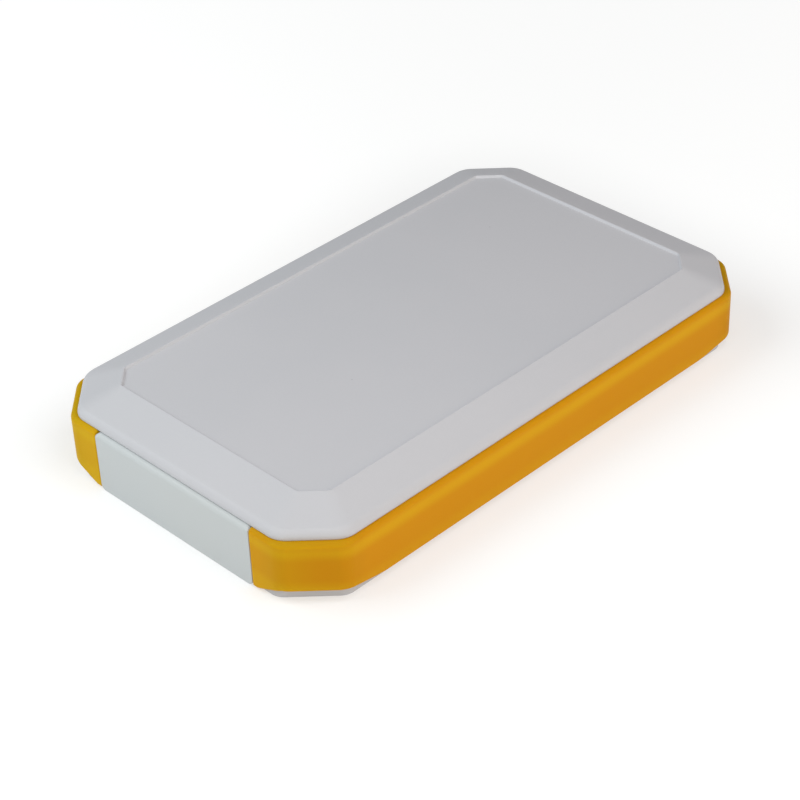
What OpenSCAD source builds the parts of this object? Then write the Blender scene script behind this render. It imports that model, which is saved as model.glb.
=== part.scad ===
// Handheld instrument case: a white cover and a white tray, two amber side
// grips that wrap the corners, and a plain captive panel at each short end.
// X is across the case, Y along it, Z up from its underside.

/* [Case] */
// Overall width across the two grips
case_w = 102; // [98:0.5:106]
// Overall length over the two end panels
case_l = 170.8; // [164:0.2:178]
// Overall height
case_h = 24; // [23.5:0.25:25]
// How far each corner cut runs along the sides of the grips
corner_cut = 11.8; // [11:0.1:12.6]
// Radius that softens the upright corners of the grips
corner_r = 6; // [4:0.5:7]
// Height of the seam between the cover and the grips
seam_z = 18; // [17.5:0.1:18.4]

/* [Cover] */
// How far the rim of the cover stands back from the grips
rim_inset = 1.25; // [1:0.05:1.5]
// Corner cut of the rim of the cover
rim_cut = 12; // [11:0.1:12.4]
// Radius that rolls the sloped border over into the rim
rim_r = 2.5; // [2:0.1:2.7]
// Width of the label recess
recess_w = 77.2; // [72:0.2:79]
// Length of the label recess
recess_l = 144.3; // [136:0.1:146]
// Corner cut of the label recess
recess_cut = 5.5; // [4.5:0.1:6.5]
// Depth of the label recess
recess_d = 0.7; // [0.5:0.05:0.9]
// Flat land between the recess and the sloped border
recess_land = 0.45; // [0.3:0.05:0.7]
// Thickness of the cover under the label recess
cover_t = 2.2; // [2:0.1:2.6]
// Thickness of the tongue that drops inside the wall of the tray
tongue_t = 1.5; // [1.2:0.1:1.8]
// How far the tongue reaches below the seam
tongue_h = 3.4; // [2.5:0.1:4]

/* [Tray] */
// Thickness of the wall of the tray
wall_t = 2.2; // [2:0.1:2.4]
// Thickness of the floor of the tray
floor_t = 2.2; // [2:0.1:2.6]
// How far the ledge under the grips stands back from their outer face
ledge_inset = 2.2; // [1.8:0.1:2.4]
// Height of the board bosses above the floor
boss_h = 5; // [4:0.5:6]
// Spacing of the board bosses across the case
board_x = 66; // [60:1:68]
// Spacing of the board bosses along the case
board_y = 96; // [84:1:104]
// Pilot bore of the board bosses
board_bore = 2.5; // [2.2:0.1:2.7]

/* [Grips] */
// Thickness of the grips
grip_t = 3.4; // [3.2:0.1:3.6]
// Radius of their upper shoulder
shoulder_r = 1.2; // [1:0.1:1.4]
// Shadow gap under the rim of the cover
seam_gap = 0.25; // [0.15:0.05:0.35]
// Height of their lower edge along the sides
hem_side = 1.9; // [1.6:0.1:2.4]
// Height of their lower edge at the cut corners
hem_corner = 3.4; // [3:0.1:3.6]
// Height of their lower edge beside the end panels
hem_end = 0.4; // [0.4:0.1:0.8]

/* [End panels] */
// Width of the visible face of an end panel
end_w = 58.2; // [54:0.2:62]
// Thickness of its face
end_t = 2; // [1.6:0.1:2.4]
// Radius of its lower corners
end_low_r = 1.7; // [1.5:0.1:2.6]
// Radius of its upper corners and of its upper edge
end_top_r = 0.9; // [0.6:0.1:1.2]

/* [Fixings] */
// Screw spacing across the case
screw_x = 74; // [72:0.5:76]
// Screw spacing along the case
screw_y = 132; // [124:1:134]
// Shank diameter of the screws
screw_d = 2.9; // [2.8:0.05:2.95]
// Length of the screws under the head
screw_l = 12; // [11:0.5:12.5]
// Diameter of the screw heads
head_d = 5.5; // [5:0.1:5.8]
// Diameter of the brass inserts
insert_d = 4.2; // [4:0.1:4.6]
// Length of the brass inserts
insert_l = 5; // [4:0.5:5]

/* [Hidden] */
$fn = 48;
white = [0.80, 0.81, 0.83];
amber = [0.85, 0.55, 0.10];

// half sizes of the grips, rim, recess, wall of the tray and ledge
a0 = case_w / 2;
b0 = case_l / 2;
a1 = a0 - rim_inset;
b1 = b0 - rim_inset;
a2 = recess_w / 2;
b2 = recess_l / 2;
aw = a0 - grip_t - 0.1;
bw = b0 - grip_t - 0.1;
ai = aw - wall_t;
bi = bw - wall_t;
at = ai - 0.15;
bt = bi - 0.15;
al = a0 - ledge_inset;
bl = b0 - ledge_inset + 1;
// corner cut of an outline that stands d inside another one with cut c
function cut_in(c, d) = c - d * (2 - sqrt(2));
cw = cut_in(corner_cut, grip_t + 0.1);
ci = cut_in(cw, wall_t);
ct = cut_in(ci, 0.15);
cl = 12.2;
grip_top = seam_z - seam_gap;
ceil_z = case_h - recess_d - cover_t;
head_z = 4.6;
join_z = 12;
// length over which the lower edge of the grips falls from the corners
hem_run = 12;
slot_x = end_w / 2 + 0.15;

// eight-sided outline: half width a, half length b, corner cut c
function oct(a, b, c) = [[a, c - b], [a, b - c], [a - c, b], [c - a, b], [-a, b - c], [-a, c - b], [c - a, -b], [a - c, -b]];
// the same outline with its corners rounded by r, in n steps each
function oct_r(a, b, c, r, n = 6) = let(p = oct(a - r, b - r, cut_in(c, r)))
    [for (i = [0:7]) for (j = [0:n]) p[i] + r * [cos(45 * (i - 1 + j / n)), sin(45 * (i - 1 + j / n))]];
// distance of the corner facets of such an outline from the middle
function facet(a, b, c) = (a + b - c) / sqrt(2);
// half a side profile, closed by its own mirror image
function both(h) = concat(h, [for (i = [len(h) - 1:-1:0]) [-h[i][0], h[i][1]]]);

// side profile of the cover: rim at u, sloped border up to the land at v
function cover_half(u, v, n = 6) = let(
    o = [u - rim_r, seam_z + 0.25], d = [v, case_h] - o,
    f = atan2(d[1], d[0]) - acos(rim_r / norm(d)))
    concat([[u, seam_z]], [for (i = [0:n]) o + rim_r * [cos(f * i / n), sin(f * i / n)]], [[v, case_h]]);
// side profile of the hollow under it
function hollow_half(u, v) = [[u, seam_z - tongue_h - 1], [u, seam_z + 1.2], [v, ceil_z]];
// side profile of the grips
function grip_half(u, n = 6) = concat([[u, -1]],
    [for (i = [0:n]) [u - shoulder_r, grip_top - shoulder_r] + shoulder_r * [cos(90 * i / n), sin(90 * i / n)]]);

// a side profile run straight through the case, facing direction t
module run(half, t) {
    rotate([0, 0, t]) rotate([90, 0, 0]) linear_extrude(height = 260, center = true) polygon(both(half));
}

module outline(a, b, c, r) {
    polygon(oct_r(a, b, c, r));
}

module four(x, y) {
    for (i = [-1, 1]) for (j = [-1, 1]) translate([i * x / 2, j * y / 2, 0]) children();
}

// everything below the lower edge of the grips, moved down by e
module under_grip(e) {
    k = b0 - corner_cut;
    side = [[-b0 - 3, -1], [-b0 - 3, hem_corner - e], [-k, hem_corner - e], [hem_run - k, hem_side - e],
        [k - hem_run, hem_side - e], [k, hem_corner - e], [b0 + 3, hem_corner - e], [b0 + 3, -1]];
    end = [[28, -1], [28, hem_end - e], [31, hem_end - e], [a0 - corner_cut, hem_corner - e], [a0 + 3, hem_corner - e], [a0 + 3, -1]];
    for (m = [0, 1]) mirror([m, 0, 0]) {
        translate([a0 - corner_cut + 0.5, 0, 0]) rotate([90, 0, 90]) linear_extrude(height = corner_cut + 2.5) polygon(side);
        for (j = [0, 1]) mirror([0, j, 0])
            translate([0, b0 + 3, 0]) rotate([90, 0, 0]) linear_extrude(height = 3 + corner_cut) polygon(end);
    }
}

module top_cover() {
    color(white) difference() {
        union() {
            difference() {
                intersection() {
                    run(cover_half(a1, a2 + recess_land), 0);
                    run(cover_half(b1, b2 + recess_land), 90);
                    run(cover_half(facet(a1, b1, rim_cut), facet(a2, b2, recess_cut) + recess_land), 45);
                    run(cover_half(facet(a1, b1, rim_cut), facet(a2, b2, recess_cut) + recess_land), -45);
                    translate([0, 0, seam_z]) linear_extrude(height = case_h) outline(a1, b1, rim_cut, 6.5);
                }
                translate([0, 0, case_h - recess_d]) linear_extrude(height = 5) outline(a2, b2, recess_cut, 1);
                intersection() {
                    run(hollow_half(at - tongue_t, a2), 0);
                    run(hollow_half(bt - tongue_t, b2), 90);
                    run(hollow_half(facet(at, bt, ct) - tongue_t, facet(a2, b2, recess_cut)), 45);
                    run(hollow_half(facet(at, bt, ct) - tongue_t, facet(a2, b2, recess_cut)), -45);
                }
                // groove for the upstand of the grips
                translate([0, 0, seam_z - 1]) linear_extrude(height = 2.1) difference() {
                    outline(aw + 1.05, bw + 1.05, cut_in(cw, -1.05), 4);
                    outline(aw, bw, cw, 3);
                }
            }
            // tongue inside the wall of the tray
            translate([0, 0, seam_z - tongue_h]) linear_extrude(height = tongue_h + 0.6) difference() {
                outline(at, bt, ct, 1.5);
                polygon(oct(at - tongue_t, bt - tongue_t, cut_in(ct, tongue_t)));
            }
            four(screw_x, screw_y) translate([0, 0, join_z]) cylinder(h = ceil_z + 0.5 - join_z, d = 7.4);
        }
        four(screw_x, screw_y) translate([0, 0, join_z - 1]) cylinder(h = insert_l + 1.6, d = insert_d);
    }
}

module bottom_shell() {
    color(white) difference() {
        union() {
            linear_extrude(height = floor_t) outline(aw, bw, cw, 3);
            linear_extrude(height = seam_z - 0.1) difference() {
                outline(aw, bw, cw, 3);
                outline(ai, bi, ci, 1.5);
            }
            // ledge that carries the grips
            intersection() {
                linear_extrude(height = hem_corner) difference() {
                    outline(al, bl, cl, 4.5);
                    polygon(oct(aw - 0.5, bw - 0.5, cut_in(cw, 0.5)));
                }
                under_grip(0.1);
            }
            four(screw_x, screw_y) cylinder(h = join_z - 0.1, d = 9.2);
            four(board_x, board_y) cylinder(h = floor_t + boss_h, d = 6);
        }
        for (j = [0, 1]) mirror([0, j, 0]) {
            // open end and the rebate for the flange of the end panel
            translate([-28, bi - 2, floor_t]) cube([56, wall_t + 4, seam_z]);
            translate([-32.2, bw - 1.3, floor_t]) cube([64.4, 3, seam_z]);
            translate([-30.6, bw, -1]) cube([61.2, 6, 6]);
        }
        // groove for the rib of the grips
        translate([0, 0, 7.9]) linear_extrude(height = 2.2) difference() {
            square([case_w, case_l], center = true);
            outline(aw - 0.9, bw - 0.9, cut_in(cw, 0.9), 2.5);
        }
        four(screw_x, screw_y) {
            translate([0, 0, -1]) cylinder(h = head_z + 1, d = 6.4);
            cylinder(h = join_z + 1, d = 3.4);
        }
        four(board_x, board_y) translate([0, 0, 1.2]) cylinder(h = floor_t + boss_h, d = board_bore);
    }
}

// the grip on the +X side
module grip() {
    difference() {
        union() {
            difference() {
                intersection() {
                    run(grip_half(a0), 0);
                    run(grip_half(b0), 90);
                    run(grip_half(facet(a0, b0, corner_cut)), 45);
                    run(grip_half(facet(a0, b0, corner_cut)), -45);
                    linear_extrude(height = case_h) outline(a0, b0, corner_cut, corner_r);
                }
                translate([0, 0, -1]) linear_extrude(height = case_h + 2) outline(aw + 0.1, bw + 0.1, cut_in(cw, -0.1), 3);
                under_grip(0);
            }
            // upstand that hooks behind the rim of the cover
            translate([0, 0, grip_top - 1]) linear_extrude(height = 2.1) difference() {
                outline(aw + 0.9, bw + 0.9, cut_in(cw, -0.9), 4);
                outline(aw + 0.1, bw + 0.1, cut_in(cw, -0.1), 3);
            }
            // rib that keys into the wall of the tray
            translate([0, 0, 8]) linear_extrude(height = 2) difference() {
                outline(aw + 0.4, bw + 0.4, cut_in(cw, -0.4), 3);
                outline(aw - 0.8, bw - 0.8, cut_in(cw, 0.8), 2.5);
                square([66, case_l + 4], center = true);
            }
        }
        translate([slot_x - case_w, -case_l, -2]) cube([case_w, case_l * 2, case_h * 2]);
    }
}

module right_grip() {
    color(amber) grip();
}

module left_grip() {
    color(amber) mirror([1, 0, 0]) grip();
}

// face of an end panel seen from outside, with rounded corners
function face_pts(n = 6) = let(w = end_w / 2, h = grip_top, l = end_low_r, t = end_top_r) concat(
    [for (i = [0:n]) [w - l, l] + l * [cos(-90 + 90 * i / n), sin(-90 + 90 * i / n)]],
    [for (i = [0:n]) [w - t, h - t] + t * [cos(90 * i / n), sin(90 * i / n)]],
    [for (i = [0:n]) [t - w, h - t] + t * [cos(90 + 90 * i / n), sin(90 + 90 * i / n)]],
    [for (i = [0:n]) [l - w, l] + l * [cos(180 + 90 * i / n), sin(180 + 90 * i / n)]]);

// the panel at the -Y end
module end_panel() {
    n = 6;
    t = end_top_r;
    section = concat([[-b0, -1]], [for (i = [0:n]) [-b0 + t, grip_top - t] + t * [-cos(90 * i / n), sin(90 * i / n)]],
        [[-bw, grip_top], [-bw, -1]]);
    difference() {
        union() {
            intersection() {
                translate([0, -bw + 1, 0]) rotate([90, 0, 0]) linear_extrude(height = b0 - bw + 1) polygon(face_pts());
                rotate([90, 0, 90]) linear_extrude(height = case_w, center = true) polygon(section);
            }
            translate([-32, -bw - 0.05, floor_t + 0.1]) cube([64, 1.25, seam_z - floor_t - 0.5]);
        }
        translate([-26, -b0 + end_t, 4]) cube([52, 10, 11.5]);
    }
}

module front_panel() {
    color(white) end_panel();
}

module rear_panel() {
    color(white) mirror([0, 1, 0]) end_panel();
}

// pan-head screw with a cross recess, head down, seat of the head at z = 0
module screw() {
    r = head_d / 2;
    difference() {
        union() {
            rotate_extrude() polygon(concat([[0, 0], [0, -2.1]], [for (i = [0:6]) [r - 1 + sin(90 * i / 6), -1.1 - cos(90 * i / 6)]], [[r, 0]]));
            cylinder(h = screw_l - 0.5, d = screw_d);
            translate([0, 0, screw_l - 0.6]) cylinder(h = 0.6, d1 = screw_d, d2 = screw_d - 1);
        }
        for (q = [0, 90]) rotate([0, 0, q]) translate([-1.5, -0.4, -3]) cube([3, 0.8, 2.1]);
    }
}

module case_screws() {
    color([0.55, 0.56, 0.58]) four(screw_x, screw_y) translate([0, 0, head_z]) screw();
}

module thread_inserts() {
    color([0.80, 0.62, 0.28]) four(screw_x, screw_y) translate([0, 0, join_z]) difference() {
        cylinder(h = insert_l, d = insert_d);
        translate([0, 0, -1]) cylinder(h = insert_l + 2, d = 3);
    }
}

top_cover();
bottom_shell();
left_grip();
right_grip();
front_panel();
rear_panel();
case_screws();
thread_inserts();
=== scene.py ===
import math

import bmesh
import bpy
from mathutils import Matrix, Vector


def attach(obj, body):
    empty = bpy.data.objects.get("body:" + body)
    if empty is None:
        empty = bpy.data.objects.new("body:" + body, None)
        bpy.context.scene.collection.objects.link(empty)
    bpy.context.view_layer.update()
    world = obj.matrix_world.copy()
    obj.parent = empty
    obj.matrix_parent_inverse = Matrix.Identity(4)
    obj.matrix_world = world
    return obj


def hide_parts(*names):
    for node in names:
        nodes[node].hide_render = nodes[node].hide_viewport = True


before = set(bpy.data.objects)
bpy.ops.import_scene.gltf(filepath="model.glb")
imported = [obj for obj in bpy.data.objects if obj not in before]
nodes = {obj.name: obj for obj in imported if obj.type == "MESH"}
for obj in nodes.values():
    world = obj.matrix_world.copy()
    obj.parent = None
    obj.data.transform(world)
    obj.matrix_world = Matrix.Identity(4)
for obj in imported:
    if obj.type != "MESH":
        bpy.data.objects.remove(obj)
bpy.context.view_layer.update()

MM = 0.001
SQ2 = math.sqrt(2.0)
scene = bpy.context.scene

# ---------------------------------------------------------------- sizes, in millimetres
A0, B0, CUT0, R0 = 51.0, 85.4, 11.8, 6.0          # grips, outside
A1, B1, CUT1, R1 = 49.75, 84.15, 12.0, 6.5        # rim of the cover
A2, B2, CUT2 = 38.6, 72.15, 5.5                   # label recess
TOP, SEAM, RECESS, CEIL = 24.0, 18.0, 0.7, 21.1
GRIP_TOP, PANEL_TOP, SHOULDER, GRIP_T = 17.97, 17.82, 1.2, 3.4
HEM_SIDE, HEM_CORNER, HEM_END, HEM_RUN = 1.9, 3.4, 0.4, 12.0
END_W = 58.2
AW, BW = A0 - GRIP_T - 0.1, B0 - GRIP_T - 0.1     # wall of the tray, outside
AT, BT = AW - 2.35, BW - 2.35                     # tongue of the cover, outside
SCREWS = [(x, y) for x in (-37.0, 37.0) for y in (-66.0, 66.0)]
F0 = (A0 + B0 - CUT0) / SQ2
F1 = (A1 + B1 - CUT1) / SQ2
F2 = (A2 + B2 - CUT2) / SQ2
FW = F0 - (A0 - AW)
FT = F0 - (A0 - AT)


# ---------------------------------------------------------------- outlines and lofts
def octo(a, b, f, r, n=10):
    """Rounded eight-sided ring: points (x, y) anticlockwise, sides at a and b, corner facets at f from the middle."""
    ka, kb, kf = a - r, b - r, f - r
    c = ka + kb - kf * SQ2
    k = [(ka, c - kb), (ka, kb - c), (ka - c, kb), (c - ka, kb), (-ka, kb - c), (-ka, c - kb), (c - ka, -kb), (ka - c, -kb)]
    out = []
    for i, (x, y) in enumerate(k):
        for j in range(n + 1):
            t = math.radians(45.0 * (i - 1 + j / n))
            out.append((x + r * math.cos(t), y + r * math.sin(t)))
    return out


def ring3(pts, z):
    return [(x, y, z) for x, y in pts]


def raw_object(name, bm):
    """Object in millimetres from a closed bmesh, used up by the call."""
    bmesh.ops.remove_doubles(bm, verts=bm.verts, dist=1e-4)
    bmesh.ops.recalc_face_normals(bm, faces=bm.faces)
    me = bpy.data.meshes.new(name)
    bm.to_mesh(me)
    bm.free()
    ob = bpy.data.objects.new(name, me)
    scene.collection.objects.link(ob)
    return ob


def combine(ob, bm, operation):
    """Join another closed bmesh to an object, or cut it out, and keep the result as its mesh."""
    tool = raw_object("tool", bm)
    m = ob.modifiers.new("join", "BOOLEAN")
    m.operation = operation
    m.solver = "EXACT"
    m.object = tool
    bpy.context.view_layer.update()
    me = bpy.data.meshes.new_from_object(ob.evaluated_get(bpy.context.evaluated_depsgraph_get()))
    ob.modifiers.clear()
    old, ob.data = ob.data, me
    me.name = ob.name
    bpy.data.meshes.remove(old)
    spent = tool.data
    bpy.data.objects.remove(tool)
    bpy.data.meshes.remove(spent)


def finish_piece(ob, sharp_deg=40.0):
    bm = bmesh.new()
    bm.from_mesh(ob.data)
    bmesh.ops.remove_doubles(bm, verts=bm.verts, dist=1e-4)
    bmesh.ops.recalc_face_normals(bm, faces=bm.faces)
    for f in bm.faces:
        f.smooth = True
    for e in bm.edges:
        if len(e.link_faces) == 2 and e.calc_face_angle(0.0) > math.radians(sharp_deg):
            e.smooth = False
    bm.transform(Matrix.Scale(MM, 4))
    bm.to_mesh(ob.data)
    bm.free()
    wn = ob.modifiers.new("even_normals", "WEIGHTED_NORMAL")
    wn.keep_sharp = True
    wn.weight = 60
    return ob


def mesh_piece(name, bm, sharp_deg=40.0):
    return finish_piece(raw_object(name, bm), sharp_deg)


def loft(rings, closed=True, caps=(True, True)):
    bm = bmesh.new()
    rows = [[bm.verts.new(p) for p in r] for r in rings]
    n = len(rings[0])
    for a, b in zip(rows, rows[1:]):
        for i in range(n if closed else n - 1):
            j = (i + 1) % n
            bm.faces.new((a[i], a[j], b[j], b[i]))
    if caps[0]:
        bm.faces.new(list(reversed(rows[0])))
    if caps[1]:
        bm.faces.new(rows[-1])
    return bm


def pegs(r, z0, z1, n=40):
    """Four upright cylinders on the screw places."""
    bm = bmesh.new()
    for x, y in SCREWS:
        rows = [[bm.verts.new((x + r * math.cos(2 * math.pi * i / n), y + r * math.sin(2 * math.pi * i / n), z)) for i in range(n)]
                for z in (z0, z1)]
        for i in range(n):
            j = (i + 1) % n
            bm.faces.new((rows[0][i], rows[0][j], rows[1][j], rows[1][i]))
        bm.faces.new(list(reversed(rows[0])))
        bm.faces.new(rows[1])
    return bm


def block(lo, hi):
    bm = bmesh.new()
    bmesh.ops.create_cube(bm, size=1.0)
    for v in bm.verts:
        v.co = Vector([lo[i] + (v.co[i] + 0.5) * (hi[i] - lo[i]) for i in range(3)])
    return bm


# ---------------------------------------------------------------- cover
def build_cover():
    rings = []

    def put(da, db, df, z, r):
        rings.append(ring3(octo(A1 - da, B1 - db, F1 - df, r), z))

    def inner(a, b, f, z, r):
        rings.append(ring3(octo(a, b, f, r), z))

    # hollow underside: ceiling, tongue that drops inside the tray, groove for the upstand of the grips, out to the rim
    inner(A2, B2, F2, CEIL, 1.0)
    inner(AT - 1.5, BT - 1.5, FT - 1.5, SEAM + 1.2, 1.0)
    inner(AT - 1.5, BT - 1.5, FT - 1.5, SEAM - 3.1, 1.0)
    inner(AT - 1.2, BT - 1.2, FT - 1.2, SEAM - 3.4, 1.1)
    inner(AT - 0.3, BT - 0.3, FT - 0.3, SEAM - 3.4, 1.4)
    inner(AT, BT, FT, SEAM - 3.1, 1.5)
    inner(AT, BT, FT, SEAM, 1.5)
    inner(AW, BW, FW, SEAM, 3.0)
    inner(AW, BW, FW, SEAM + 1.1, 3.0)
    inner(AW + 1.05, BW + 1.05, FW + 1.05, SEAM + 1.1, 4.0)
    inner(AW + 1.05, BW + 1.05, FW + 1.05, SEAM, 4.0)
    # rim: small edge radius, short wall, then a wide roll into the slope
    re = 0.12
    put(re, re, re, SEAM, R1)
    for q in (30, 60, 90):
        s = re * (1 - math.sin(math.radians(q)))
        put(s, s, s, SEAM + re * (1 - math.cos(math.radians(q))), R1)
    rr = 2.5
    zc = SEAM + 0.35
    end = 70.0
    for i in range(0, 15):
        q = math.radians(end * i / 14)
        s = rr * (1 - math.cos(q))
        put(s, s, s, zc + rr * math.sin(q), R1 - 0.35 * s)
    s0, z0, r0 = s, zc + rr * math.sin(math.radians(end)), R1 - 0.35 * s
    land = 0.45
    la, lb, lf = A1 - A2 - land, B1 - B2 - land, F1 - F2 - land
    # slope, in steps so that the wide corner radius closes late and evenly
    for t, r in ((0.2, 6.2), (0.4, 6.0), (0.6, 5.6), (0.78, 4.8), (0.92, 3.6)):
        put(s0 + (la - s0) * t, s0 + (lb - s0) * t, s0 + (lf - s0) * t, z0 + (TOP - 0.02 - z0) * t, r)
    # soft crest, land, then the wall of the recess
    for t, dz, r in ((0.975, -0.018, 2.8), (1.0, -0.012, 2.3)):
        put(s0 + (la - s0) * t, s0 + (lb - s0) * t, s0 + (lf - s0) * t, z0 + (TOP - z0) * t + dz, r)
    e = 0.25
    w = land - e
    put(la + w * 0.5, lb + w * 0.5, lf + w * 0.5, TOP, 1.7)
    # rounded edge, wall with a wide draft, hollow fillet into the floor of the recess
    steep = 62.0
    cq, sq = math.cos(math.radians(steep)), math.sin(math.radians(steep))
    for i in range(6):
        q = math.radians(steep * i / 5)
        s = w + e * math.sin(q)
        put(la + s, lb + s, lf + s, TOP - e * (1 - math.cos(q)), 1.2)
    foot, rc = TOP - RECESS, 0.25
    s0 = w + e * sq + (RECESS - (e + rc) * (1 - cq)) * cq / sq
    for i in range(6):
        q = math.radians(steep * (1 - i / 5))
        s = s0 + rc * (sq - math.sin(q))
        put(la + s, lb + s, lf + s, foot + rc * (1 - math.cos(q)), 1.0)
    put(la + 1.6, lb + 1.6, lf + 1.6, foot, 1.0)
    ob = raw_object("cover_moulding", loft(rings))
    combine(ob, pegs(3.7, 12.0, CEIL + 0.5), "UNION")
    combine(ob, pegs(2.1, 11.0, 17.6), "DIFFERENCE")
    return finish_piece(ob)


# ---------------------------------------------------------------- grips
def hem(x, y):
    """Height of the lower edge of a grip at a place on its outline."""
    x, y = abs(x), abs(y)
    k = B0 - CUT0
    t = min(1.0, max(0.0, (y - (k - HEM_RUN)) / HEM_RUN))
    t = t + 0.35 * (t * t * (3 - 2 * t) - t)
    side = HEM_SIDE + (HEM_CORNER - HEM_SIDE) * t
    xe = A0 - CUT0
    if y > B0 - 0.8:
        t = min(1.0, max(0.0, (x - 31.0) / (xe - 31.0)))
        return min(side, HEM_END + (HEM_CORNER - HEM_END) * t)
    return side


def grip_path(x0):
    """Outline of the right-hand grip from its front end to its rear end: (x, y, nx, ny)."""
    n = 14
    ka, kb, kf = A0 - R0, B0 - R0, F0 - R0
    c = ka + kb - kf * SQ2
    pts = []

    def line(p, q, steps, nx, ny, skip_first=True):
        for i in range(1 if skip_first else 0, steps):
            t = i / steps
            pts.append((p[0] + (q[0] - p[0]) * t, p[1] + (q[1] - p[1]) * t, nx, ny))

    def arc(cx, cy, a, b):
        for j in range(n + 1):
            t = math.radians(a + (b - a) * j / n)
            pts.append((cx + R0 * math.cos(t), cy + R0 * math.sin(t), math.cos(t), math.sin(t)))

    arc(ka - c, -kb, 270, 315)
    line((pts[-1][0], pts[-1][1]), (ka + R0 / SQ2, c - kb - R0 / SQ2), 6, 1 / SQ2, -1 / SQ2)
    arc(ka, c - kb, 315, 360)
    line((A0, c - kb), (A0, kb - c), 40, 1, 0)
    arc(ka, kb - c, 0, 45)
    line((pts[-1][0], pts[-1][1]), (ka - c + R0 / SQ2, kb + R0 / SQ2), 6, 1 / SQ2, 1 / SQ2)
    arc(ka - c, kb, 45, 90)
    first = pts[0][0]
    ends = [0.0, 0.05, 0.15, 0.3, 0.5, 0.75, 1.05, 1.6]
    span = first - x0
    steps = ends + [1.6 + (span - 1.6) * i / 6 for i in range(1, 6)]
    front = [(x0 + s, -B0, 0, -1) for s in steps]
    rear = [(x0 + s, B0, 0, 1) for s in reversed(steps)]
    return front + pts + rear


def build_grip(name, side):
    x0 = END_W / 2 + 0.02
    path = grip_path(x0)
    re = 0.5
    rings = []
    for x, y, nx, ny in path:
        # rounded end next to the panel
        s = x - x0 if abs(y) > B0 - 0.01 else 9.0
        d = re - math.sqrt(max(0.0, re * re - (re - min(s, re)) ** 2))
        zb = hem(x, y) + d * 0.6
        zt = GRIP_TOP - d
        rb = min(1.1, 0.35 + 0.3 * (hem(x, y)))
        rs = SHOULDER
        sec = []
        # inner face, up, over the shoulder, down the outer face, under the hem
        sec.append((GRIP_T - 0.1, zb + 0.1))
        sec.append((GRIP_T - 0.1, zt - 0.1))
        sec.append((GRIP_T - 0.5, zt))
        for i in range(0, 9):
            q = math.radians(90.0 * i / 8)
            sec.append((d + rs * (1 - math.sin(q)), zt - rs * (1 - math.cos(q))))
        sec.append((d, zt - rs - (zt - rs - zb - rb) * 0.33))
        sec.append((d, zt - rs - (zt - rs - zb - rb) * 0.66))
        for i in range(0, 7):
            q = math.radians(90.0 * i / 6)
            sec.append((d + rb * (1 - math.cos(q)), zb + rb * (1 - math.sin(q))))
        sec.append((GRIP_T - 0.5, zb))
        rings.append([(side * (x - nx * u), y - ny * u, z) for u, z in sec])
    return mesh_piece(name, loft(rings), 50.0)


# ---------------------------------------------------------------- end panels
def build_panel(name, side):
    w, h = END_W / 2, PANEL_TOP
    lo, hi, n = 1.7, 1.35, 10
    pts = []

    def arc(cx, cz, r, a):
        for i in range(n + 1):
            t = math.radians(a + 90.0 * i / n)
            pts.append((cx + r * math.cos(t), cz + r * math.sin(t), math.cos(t), math.sin(t)))

    def edge(p, q, m, nx, nz):
        for i in range(1, m):
            pts.append((p[0] + (q[0] - p[0]) * i / m, p[1] + (q[1] - p[1]) * i / m, nx, nz))

    arc(w - lo, lo, lo, -90)
    edge((w, lo), (w, h - hi), 4, 1, 0)
    arc(w - hi, h - hi, hi, 0)
    edge((w - hi, h), (hi - w, h), 12, 0, 1)
    arc(hi - w, h - hi, hi, 90)
    edge((-w, h - hi), (-w, lo), 4, -1, 0)
    arc(lo - w, lo, lo, 180)
    edge((lo - w, 0.0), (w - lo, 0.0), 12, 0, -1)

    def ring(q, back):
        out = []
        for x, z, nx, nz in pts:
            up = max(0.0, nz) ** 2
            e = 0.16 + 1.42 * up
            s, y = (e * (1 - math.sin(q)), e * (1 - math.cos(q))) if back is None else (back[0], back[1])
            out.append((x - nx * s, side * (-B0 + y), z - nz * s))
        return out

    rings = [ring(math.radians(90.0 * i / 8), None) for i in range(9)]
    rings.append(ring(0, (0.0, 2.2)))
    rings.append(ring(0, (0.0, B0 - BW)))
    ob = raw_object(name, loft(rings))
    # flange behind the plate that the tray holds, and the pocket in its back
    y0, y1 = side * -(BW + 0.05), side * -(BW - 1.2)
    combine(ob, block((-32.0, min(y0, y1), 2.3), (32.0, max(y0, y1), 17.5)), "UNION")
    y0, y1 = side * -(B0 - 2.0), side * -(B0 - 8.0)
    combine(ob, block((-26.0, min(y0, y1), 4.0), (26.0, max(y0, y1), 15.5)), "DIFFERENCE")
    return finish_piece(ob, 50.0)


cover = build_cover()
right_grip = build_grip("right_grip_moulding", 1)
left_grip = build_grip("left_grip_moulding", -1)
front_panel = build_panel("front_panel_plate", 1)
rear_panel = build_panel("rear_panel_plate", -1)

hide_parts("top_cover")
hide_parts("right_grip")
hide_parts("left_grip")
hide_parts("front_panel")
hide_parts("rear_panel")
for ob in (cover, right_grip, left_grip, front_panel, rear_panel):
    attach(ob, "root")


# ---------------------------------------------------------------- materials
def new_mat(name):
    m = bpy.data.materials.new(name)
    m.use_nodes = True
    nt = m.node_tree
    bsdf = nt.nodes["Principled BSDF"]
    tc = nt.nodes.new("ShaderNodeTexCoord")
    return m, nt, bsdf, tc


def noise(nt, tc, scale, detail=3.0, rough=0.5, stretch=None):
    t = nt.nodes.new("ShaderNodeTexNoise")
    t.inputs["Scale"].default_value = scale
    t.inputs["Detail"].default_value = detail
    t.inputs["Roughness"].default_value = rough
    if stretch:
        mp = nt.nodes.new("ShaderNodeMapping")
        mp.inputs["Scale"].default_value = stretch
        nt.links.new(tc.outputs["Object"], mp.inputs["Vector"])
        nt.links.new(mp.outputs["Vector"], t.inputs["Vector"])
    else:
        nt.links.new(tc.outputs["Object"], t.inputs["Vector"])
    return t


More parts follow.
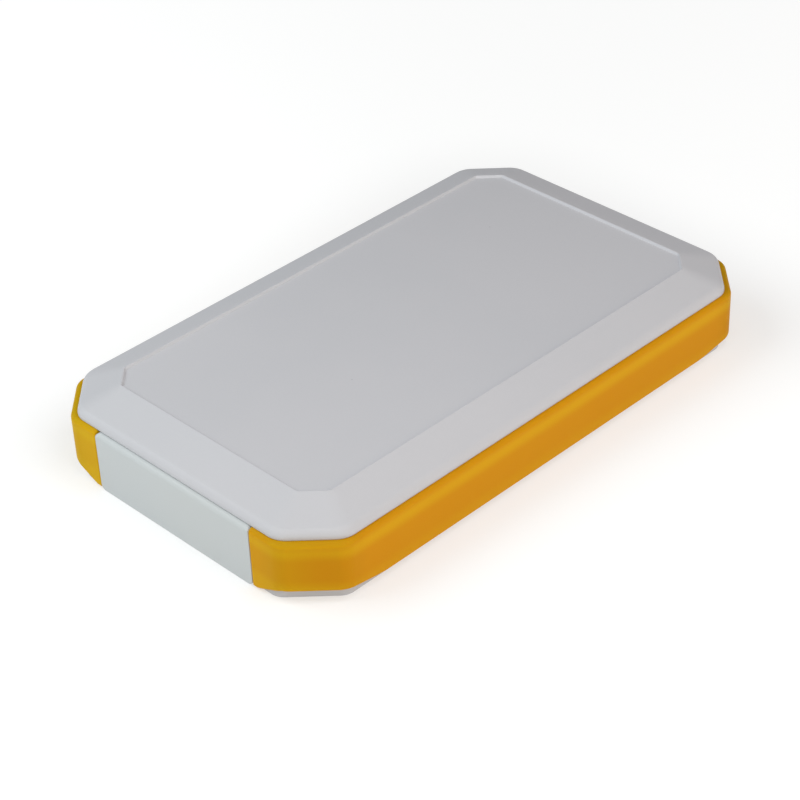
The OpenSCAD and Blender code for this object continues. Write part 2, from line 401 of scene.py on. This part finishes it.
def remap(nt, src, a, b, c, d, smooth=False):
    r = nt.nodes.new("ShaderNodeMapRange")
    r.interpolation_type = "SMOOTHSTEP" if smooth else "LINEAR"
    for k, v in zip(("From Min", "From Max", "To Min", "To Max"), (a, b, c, d)):
        r.inputs[k].default_value = v
    nt.links.new(src, r.inputs["Value"])
    return r.outputs["Result"]


def math_node(nt, op, a, b=None):
    m = nt.nodes.new("ShaderNodeMath")
    m.operation = op
    for i, v in enumerate((a, b)):
        if v is None:
            continue
        if isinstance(v, (int, float)):
            m.inputs[i].default_value = v
        else:
            nt.links.new(v, m.inputs[i])
    return m.outputs[0]


def mix_col(nt, fac, a, b, blend="MIX"):
    m = nt.nodes.new("ShaderNodeMix")
    m.data_type = "RGBA"
    m.blend_type = blend
    if isinstance(fac, (int, float)):
        m.inputs[0].default_value = fac
    else:
        nt.links.new(fac, m.inputs[0])
    for i, v in ((6, a), (7, b)):
        if isinstance(v, tuple):
            m.inputs[i].default_value = (*v, 1.0)
        else:
            nt.links.new(v, m.inputs[i])
    return m.outputs[2]


def specks(nt, tc, cell, radius, share):
    """Sparse specks: 1 inside a small round spot in some cells, 0 elsewhere."""
    v = nt.nodes.new("ShaderNodeTexVoronoi")
    v.inputs["Scale"].default_value = 1.0 / cell
    nt.links.new(tc.outputs["Object"], v.inputs["Vector"])
    sep = nt.nodes.new("ShaderNodeSeparateColor")
    nt.links.new(v.outputs["Color"], sep.inputs[0])
    near = remap(nt, v.outputs["Distance"], radius / cell * 0.5, radius / cell, 1.0, 0.0, True)
    some = math_node(nt, "LESS_THAN", sep.outputs[0], share)
    return math_node(nt, "MULTIPLY", near, some)


def white_plastic(name, base, warm, step=False):
    m, nt, bsdf, tc = new_mat(name)
    cloud = noise(nt, tc, 22.0, 3.0, 0.55)
    col = mix_col(nt, remap(nt, cloud.outputs["Fac"], 0.35, 0.65, 0.0, 1.0, True), base, warm)
    if step:
        # painted highlight: a lighter tint on the steep step round the recess, set to match the photo
        geo = nt.nodes.new("ShaderNodeNewGeometry")
        nz = nt.nodes.new("ShaderNodeSeparateXYZ")
        nt.links.new(geo.outputs["Normal"], nz.inputs[0])
        pz = nt.nodes.new("ShaderNodeSeparateXYZ")
        nt.links.new(tc.outputs["Object"], pz.inputs[0])
        steep = remap(nt, nz.outputs["Z"], 0.85, 0.45, 0.0, 1.0, True)
        high = remap(nt, pz.outputs["Z"], 0.0231, 0.0234, 0.0, 1.0, True)
        # colour of the painted highlight on the step
        painted_light_tint = (base[0] * 1.11, base[1] * 1.12, base[2] * 1.12)
        col = mix_col(nt, math_node(nt, "MULTIPLY", steep, high), col, painted_light_tint)
    grain = noise(nt, tc, 2600.0, 2.0, 0.6)
    col = mix_col(nt, remap(nt, grain.outputs["Fac"], 0.3, 0.7, 0.0, 0.07), col, (base[0] * 0.8, base[1] * 0.8, base[2] * 0.8))
    dots = specks(nt, tc, 0.0085, 0.00028, 0.10)
    col = mix_col(nt, math_node(nt, "MULTIPLY", dots, 0.30), col, (0.16, 0.16, 0.17))
    nt.links.new(col, bsdf.inputs["Base Color"])
    rough = math_node(nt, "ADD", remap(nt, grain.outputs["Fac"], 0.3, 0.7, -0.04, 0.04), remap(nt, cloud.outputs["Fac"], 0.3, 0.7, 0.54, 0.60))
    nt.links.new(rough, bsdf.inputs["Roughness"])
    bsdf.inputs["Specular IOR Level"].default_value = 0.38
    erosion = noise(nt, tc, 3400.0, 3.0, 0.62)
    bump = nt.nodes.new("ShaderNodeBump")
    bump.inputs["Strength"].default_value = 0.35
    bump.inputs["Distance"].default_value = 0.000035
    nt.links.new(erosion.outputs["Fac"], bump.inputs["Height"])
    nt.links.new(bump.outputs["Normal"], bsdf.inputs["Normal"])
    return m


def amber_rubber():
    m, nt, bsdf, tc = new_mat("amber_soft_touch")
    geo = nt.nodes.new("ShaderNodeSeparateXYZ")
    nt.links.new(tc.outputs["Object"], geo.inputs[0])
    x, y, z = geo.outputs["X"], geo.outputs["Y"], geo.outputs["Z"]
    deep, light, painted_light_tint = (0.605, 0.252, 0.0048), (0.705, 0.425, 0.0085), (0.635, 0.436, 0.0070)
    # painted highlight and painted light: yellower in a band under the shoulder and at the hem, and yellower at the
    # ends, set to match the photo
    far = math_node(nt, "ABSOLUTE", y)
    corner = remap(nt, far, 0.0690, 0.0770, 0.0, 1.0, True)
    zc = math_node(nt, "SUBTRACT", z, math_node(nt, "MULTIPLY", corner, 0.0006))
    up = remap(nt, zc, 0.0118, 0.0150, 0.0, 0.45, True)
    chamfer_facets = remap(nt, math_node(nt, "ADD", math_node(nt, "ABSOLUTE", x), far), 0.1165, 0.1246, 0.0, 1.0, True)
    down = math_node(nt, "MAXIMUM", remap(nt, z, 0.0153, 0.0174, 1.0, 0.25, True), math_node(nt, "MULTIPLY", chamfer_facets, 0.75))
    low = remap(nt, zc, 0.0069, 0.0036, 0.0, 0.19, True)
    low = math_node(nt, "MULTIPLY", low, math_node(nt, "ADD", corner, 1.0))
    # painted highlight band under the shoulder or painted lighter band at the hem, whichever is stronger
    edge = math_node(nt, "MAXIMUM", math_node(nt, "MULTIPLY", up, down), low)
    cloud = noise(nt, tc, 60.0, 2.0, 0.5)
    edge = math_node(nt, "ADD", edge, remap(nt, cloud.outputs["Fac"], 0.3, 0.7, -0.03, 0.03))
    clamp = nt.nodes.new("ShaderNodeClamp")
    nt.links.new(edge, clamp.inputs[0])
    col = mix_col(nt, clamp.outputs[0], deep, light)
    # painted light: yellower towards the ends, much more so on the left grip
    ends = remap(nt, far, 0.0770, 0.0854, 0.0, 0.20, True)
    ends = math_node(nt, "MULTIPLY", ends, remap(nt, x, -0.02, 0.02, 2.6, 1.0))
    ends = math_node(nt, "MAXIMUM", ends, math_node(nt, "MULTIPLY", remap(nt, far, 0.0690, 0.0760, 0.0, 0.45, True), remap(nt, x, -0.02, 0.02, 1.0, 0.0)))
    col = mix_col(nt, ends, col, painted_light_tint)
    # painted shade: a little deeper on the corner facets
    col = mix_col(nt, chamfer_facets, col, (0.92, 0.94, 0.85), "MULTIPLY")
    # painted shade: a little darker along the seam under the cover, on top of the shoulder, mostly at the corners and
    # ends, to match the photo
    seam_shade = math_node(nt, "MULTIPLY", remap(nt, z, 0.0170, 0.0179, 0.0, 1.0, True), remap(nt, corner, 0.0, 1.0, 0.2, 0.8))
    col = mix_col(nt, seam_shade, col, (0.84, 0.88, 1.0), "MULTIPLY")
    grain = noise(nt, tc, 2200.0, 2.0, 0.6)
    col = mix_col(nt, remap(nt, grain.outputs["Fac"], 0.3, 0.7, 0.0, 0.06), col, (0.45, 0.17, 0.001))
    nt.links.new(col, bsdf.inputs["Base Color"])
    nt.links.new(remap(nt, grain.outputs["Fac"], 0.3, 0.7, 0.46, 0.56), bsdf.inputs["Roughness"])
    bsdf.inputs["Specular IOR Level"].default_value = 0.04
    bsdf.inputs["Subsurface Weight"].default_value = 0.12
    bsdf.inputs["Subsurface Radius"].default_value = (1.0, 0.45, 0.1)
    bsdf.inputs["Subsurface Scale"].default_value = 0.0012
    fine = noise(nt, tc, 2800.0, 2.0, 0.6)
    bump = nt.nodes.new("ShaderNodeBump")
    bump.inputs["Strength"].default_value = 0.25
    bump.inputs["Distance"].default_value = 0.00003
    nt.links.new(fine.outputs["Fac"], bump.inputs["Height"])
    nt.links.new(bump.outputs["Normal"], bsdf.inputs["Normal"])
    return m


def metal(name, base, dark, rough):
    m, nt, bsdf, tc = new_mat(name)
    n = noise(nt, tc, 900.0, 3.0, 0.6)
    nt.links.new(mix_col(nt, remap(nt, n.outputs["Fac"], 0.35, 0.65, 0.0, 0.6, True), base, dark), bsdf.inputs["Base Color"])
    nt.links.new(remap(nt, n.outputs["Fac"], 0.3, 0.7, rough - 0.06, rough + 0.08), bsdf.inputs["Roughness"])
    bsdf.inputs["Metallic"].default_value = 1.0
    turn = noise(nt, tc, 700.0, 2.0, 0.5, (1.0, 1.0, 6.0))
    bump = nt.nodes.new("ShaderNodeBump")
    bump.inputs["Strength"].default_value = 0.3
    bump.inputs["Distance"].default_value = 0.00002
    nt.links.new(turn.outputs["Fac"], bump.inputs["Height"])
    nt.links.new(bump.outputs["Normal"], bsdf.inputs["Normal"])
    return m


def wear(ob, mat):
    ob.data.materials.clear()
    ob.data.materials.append(mat)


plastic = white_plastic("white_matte_plastic", (0.539, 0.535, 0.562), (0.549, 0.542, 0.568), True)
# the end panels get a cooler, greener copy of the white plastic: painted cool light on the end faces
panel_plastic_cool_lit = white_plastic("panel_plastic_painted_cool_light", (0.538, 0.560, 0.570), (0.545, 0.564, 0.568))
amber = amber_rubber()
steel = metal("zinc_plated_steel", (0.62, 0.63, 0.65), (0.45, 0.46, 0.48), 0.34)
brass = metal("turned_brass", (0.78, 0.58, 0.25), (0.62, 0.43, 0.16), 0.32)

wear(cover, plastic)
for ob in (front_panel, rear_panel):
    wear(ob, panel_plastic_cool_lit)
for ob in (right_grip, left_grip):
    wear(ob, amber)

for name, mat in (("bottom_shell", plastic), ("case_screws", steel), ("thread_inserts", brass)):
    ob = nodes[name]
    for s in ob.material_slots:
        s.material = mat
    if not ob.material_slots:
        ob.data.materials.append(mat)
tray = nodes["bottom_shell"]
dec = tray.modifiers.new("flat_faces", "DECIMATE")
dec.decimate_type = "DISSOLVE"
dec.angle_limit = math.radians(0.5)
bev = tray.modifiers.new("edge_radius", "BEVEL")
bev.width = 0.00035
bev.segments = 3
bev.limit_method = "ANGLE"
bev.angle_limit = math.radians(40)
bev.miter_outer = "MITER_ARC"
bev.harden_normals = False
wn = tray.modifiers.new("even_normals", "WEIGHTED_NORMAL")
wn.keep_sharp = True

# ---------------------------------------------------------------- floor, light, camera
floor_me = bpy.data.meshes.new("floor")
S = 6.0
floor_me.from_pydata([(-S, -S, 0), (S, -S, 0), (S, S, 0), (-S, S, 0)], [], [(0, 1, 2, 3)])
floor = bpy.data.objects.new("floor", floor_me)
floor.location.z = -0.00005
scene.collection.objects.link(floor)
fm = bpy.data.materials.new("pale_floor")
fm.use_nodes = True
fnt = fm.node_tree
fb = fnt.nodes["Principled BSDF"]
fb.inputs["Base Color"].default_value = (0.50, 0.50, 0.50, 1)
fb.inputs["Roughness"].default_value = 0.9
fb.inputs["Specular IOR Level"].default_value = 0.0
# light table: the floor glows by itself, more so away from the case
ftc = fnt.nodes.new("ShaderNodeTexCoord")
fsep = fnt.nodes.new("ShaderNodeSeparateXYZ")
fnt.links.new(ftc.outputs["Object"], fsep.inputs[0])
fx = math_node(fnt, "MAXIMUM", math_node(fnt, "SUBTRACT", math_node(fnt, "ABSOLUTE", fsep.outputs["X"]), 0.049), 0.0)
fy = math_node(fnt, "MAXIMUM", math_node(fnt, "SUBTRACT", math_node(fnt, "ABSOLUTE", fsep.outputs["Y"]), 0.083), 0.0)
fd = math_node(fnt, "SQRT", math_node(fnt, "ADD", math_node(fnt, "MULTIPLY", fx, fx), math_node(fnt, "MULTIPLY", fy, fy)))
fb.inputs["Emission Color"].default_value = (1, 1, 1, 1)
glow = math_node(fnt, "ADD", remap(fnt, fd, 0.0, 0.060, 0.50, 0.62, True), remap(fnt, fd, 0.060, 0.300, 0.0, 0.12))
fnt.links.new(glow, fb.inputs["Emission Strength"])
clear = fnt.nodes.new("ShaderNodeBsdfTransparent")
back = fnt.nodes.new("ShaderNodeNewGeometry")
mixs = fnt.nodes.new("ShaderNodeMixShader")
fnt.links.new(back.outputs["Backfacing"], mixs.inputs[0])
fnt.links.new(fb.outputs[0], mixs.inputs[1])
fnt.links.new(clear.outputs[0], mixs.inputs[2])
fnt.links.new(mixs.outputs[0], fnt.nodes["Material Output"].inputs["Surface"])
fm.cycles.emission_sampling = "NONE"
floor_me.materials.append(fm)

world = bpy.data.worlds.new("studio")
scene.world = world
world.use_nodes = True
bg = world.node_tree.nodes["Background"]
bg.inputs["Color"].default_value = (1.0, 1.0, 1.0, 1)
bg.inputs["Strength"].default_value = 0.2


def area(name, loc, target, size, power, color):
    d = bpy.data.lights.new(name, "AREA")
    d.shape = "RECTANGLE"
    d.size, d.size_y = size
    d.energy = power
    d.color = color
    o = bpy.data.objects.new(name, d)
    o.location = loc
    o.rotation_mode = "QUATERNION"
    o.rotation_quaternion = (Vector(target) - Vector(loc)).to_track_quat("-Z", "Y")
    scene.collection.objects.link(o)
    return o


def softbox(name, az, el, dist, size, power, color):
    """Square soft light round the case: azimuth from the front (-Y) towards +X and elevation in degrees, distance in metres."""
    a, e = math.radians(az), math.radians(el)
    at = (dist * math.sin(a) * math.cos(e), -dist * math.cos(a) * math.cos(e), dist * math.sin(e) + 0.02)
    return area(name, at, (0, 0, 0.02), (size, size), power, color)


softbox("front_softbox", 0, 30, 0.8, 0.5, 0.921, (0.940, 0.993, 0.900))
softbox("front_left_near", -35, 45, 0.45, 0.3, 0.997, (0.896, 0.978, 1.0))
softbox("right_low", 90, 20, 0.8, 0.5, 1.663, (1.0, 0.942, 0.786))
softbox("right_near", 80, 60, 0.45, 0.3, 0.801, (1.0, 0.967, 0.982))
softbox("right_back_fill", 125, 30, 0.8, 0.5, 0.347, (1.0, 0.964, 0.940))

cam_d = bpy.data.cameras.new("camera")
cam_d.sensor_fit = "AUTO"
cam_d.sensor_width = 36.0
cam_d.lens = 99.995
cam_d.clip_start, cam_d.clip_end = 0.01, 50.0
cam = bpy.data.objects.new("camera", cam_d)
scene.collection.objects.link(cam)
cam.matrix_world = Matrix((
    (0.709468, -0.387142, 0.588877, 0.355865),
    (0.703861, 0.430907, -0.564711, -0.346335),
    (-0.035128, 0.815132, 0.578209, 0.348863),
    (0.0, 0.0, 0.0, 1.0)))
scene.camera = cam

scene.view_settings.view_transform = "Standard"
scene.view_settings.look = "None"
